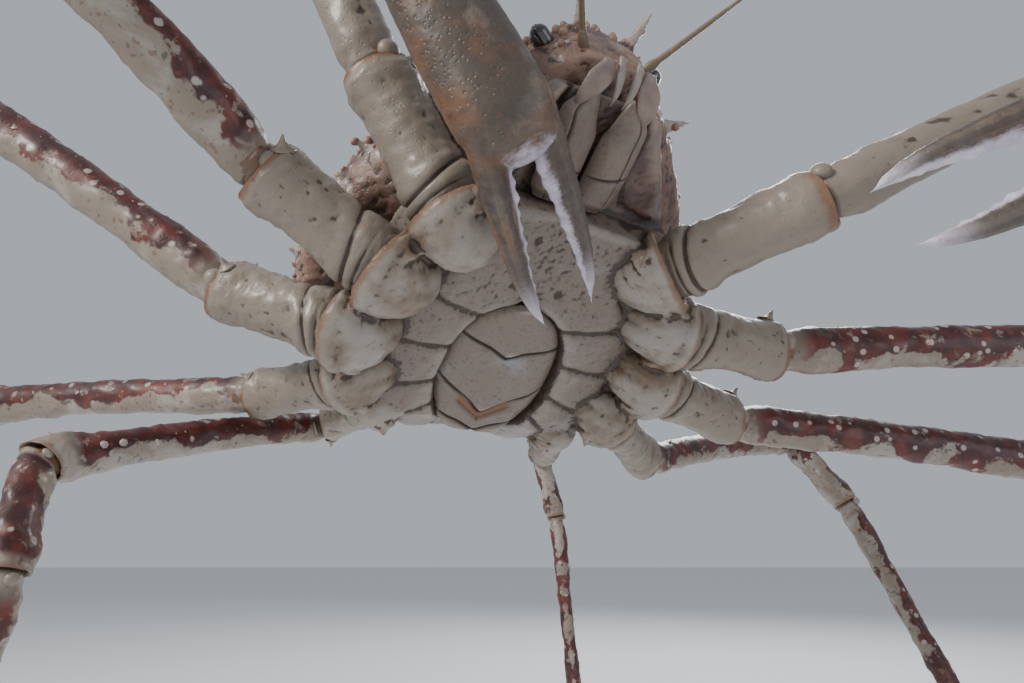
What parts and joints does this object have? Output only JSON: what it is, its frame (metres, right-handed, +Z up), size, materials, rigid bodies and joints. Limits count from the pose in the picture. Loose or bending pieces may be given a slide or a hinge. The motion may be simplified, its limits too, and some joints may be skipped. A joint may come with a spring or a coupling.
{
  "type": "spider crab model",
  "caption": "Life-size museum model of a giant long-legged spider crab standing high on its legs, body tilted nose-up, claws folded in front of it.",
  "frame": {"origin": "on the floor, under the middle of the whole animal", "axes": "+Z up; the animal looks towards -Y turned about 28 degrees towards +X; its left side is on +X"},
  "size_m": [1.5319, 0.8225, 0.9064],
  "materials": {
    "carapace_shell": "matte, rough shell with pale tubercles",
    "underside_shell": "satin shell",
    "pale_shell": "satin shell with rust stains",
    "dark_shell": "satin shell, dark maroon above and cream below",
    "claw_shell": "satin olive-brown shell with pale finger edges",
    "eye": "wet gloss"
  },
  "bodies": {
    "root": {"antenna_left": "pale_shell", "antenna_right": "pale_shell", "carapace": "carapace_shell", "claw_left_carpus": "pale_shell", "claw_left_dactylus": "claw_shell", "claw_left_ischium": "pale_shell", "claw_left_merus": "dark_shell", "claw_left_palm": "claw_shell", "claw_right_carpus": "pale_shell", "claw_right_dactylus": "claw_shell", "claw_right_ischium": "pale_shell", "claw_right_merus": "dark_shell", "claw_right_palm": "claw_shell", "eye_left": "eye", "eye_right": "eye", "leg_left_2_carpus": "pale_shell", "leg_left_2_dactylus": "pale_shell", "leg_left_2_ischium": "pale_shell", "leg_left_2_merus": "dark_shell", "leg_left_2_propodus": "dark_shell", "leg_left_3_carpus": "pale_shell", "leg_left_3_dactylus": "pale_shell", "leg_left_3_ischium": "pale_shell", "leg_left_3_merus": "dark_shell", "leg_left_3_propodus": "dark_shell", "leg_left_4_carpus": "pale_shell", "leg_left_4_dactylus": "pale_shell", "leg_left_4_ischium": "pale_shell", "leg_left_4_merus": "dark_shell", "leg_left_4_propodus": "dark_shell", "leg_left_5_carpus": "pale_shell", "leg_left_5_dactylus": "pale_shell", "leg_left_5_ischium": "pale_shell", "leg_left_5_merus": "dark_shell", "leg_left_5_propodus": "dark_shell", "leg_right_2_carpus": "pale_shell", "leg_right_2_dactylus": "pale_shell", "leg_right_2_ischium": "pale_shell", "leg_right_2_merus": "dark_shell", "leg_right_2_propodus": "dark_shell", "leg_right_3_carpus": "pale_shell", "leg_right_3_dactylus": "pale_shell", "leg_right_3_ischium": "pale_shell", "leg_right_3_merus": "dark_shell", "leg_right_3_propodus": "dark_shell", "leg_right_4_carpus": "pale_shell", "leg_right_4_dactylus": "pale_shell", "leg_right_4_ischium": "pale_shell", "leg_right_4_merus": "dark_shell", "leg_right_4_propodus": "dark_shell", "leg_right_5_carpus": "pale_shell", "leg_right_5_dactylus": "pale_shell", "leg_right_5_ischium": "pale_shell", "leg_right_5_merus": "dark_shell", "leg_right_5_propodus": "dark_shell", "maxilliped_left": "underside_shell", "maxilliped_right": "underside_shell", "pleon": "underside_shell", "thorax": "underside_shell"}
  },
  "joints": []
}
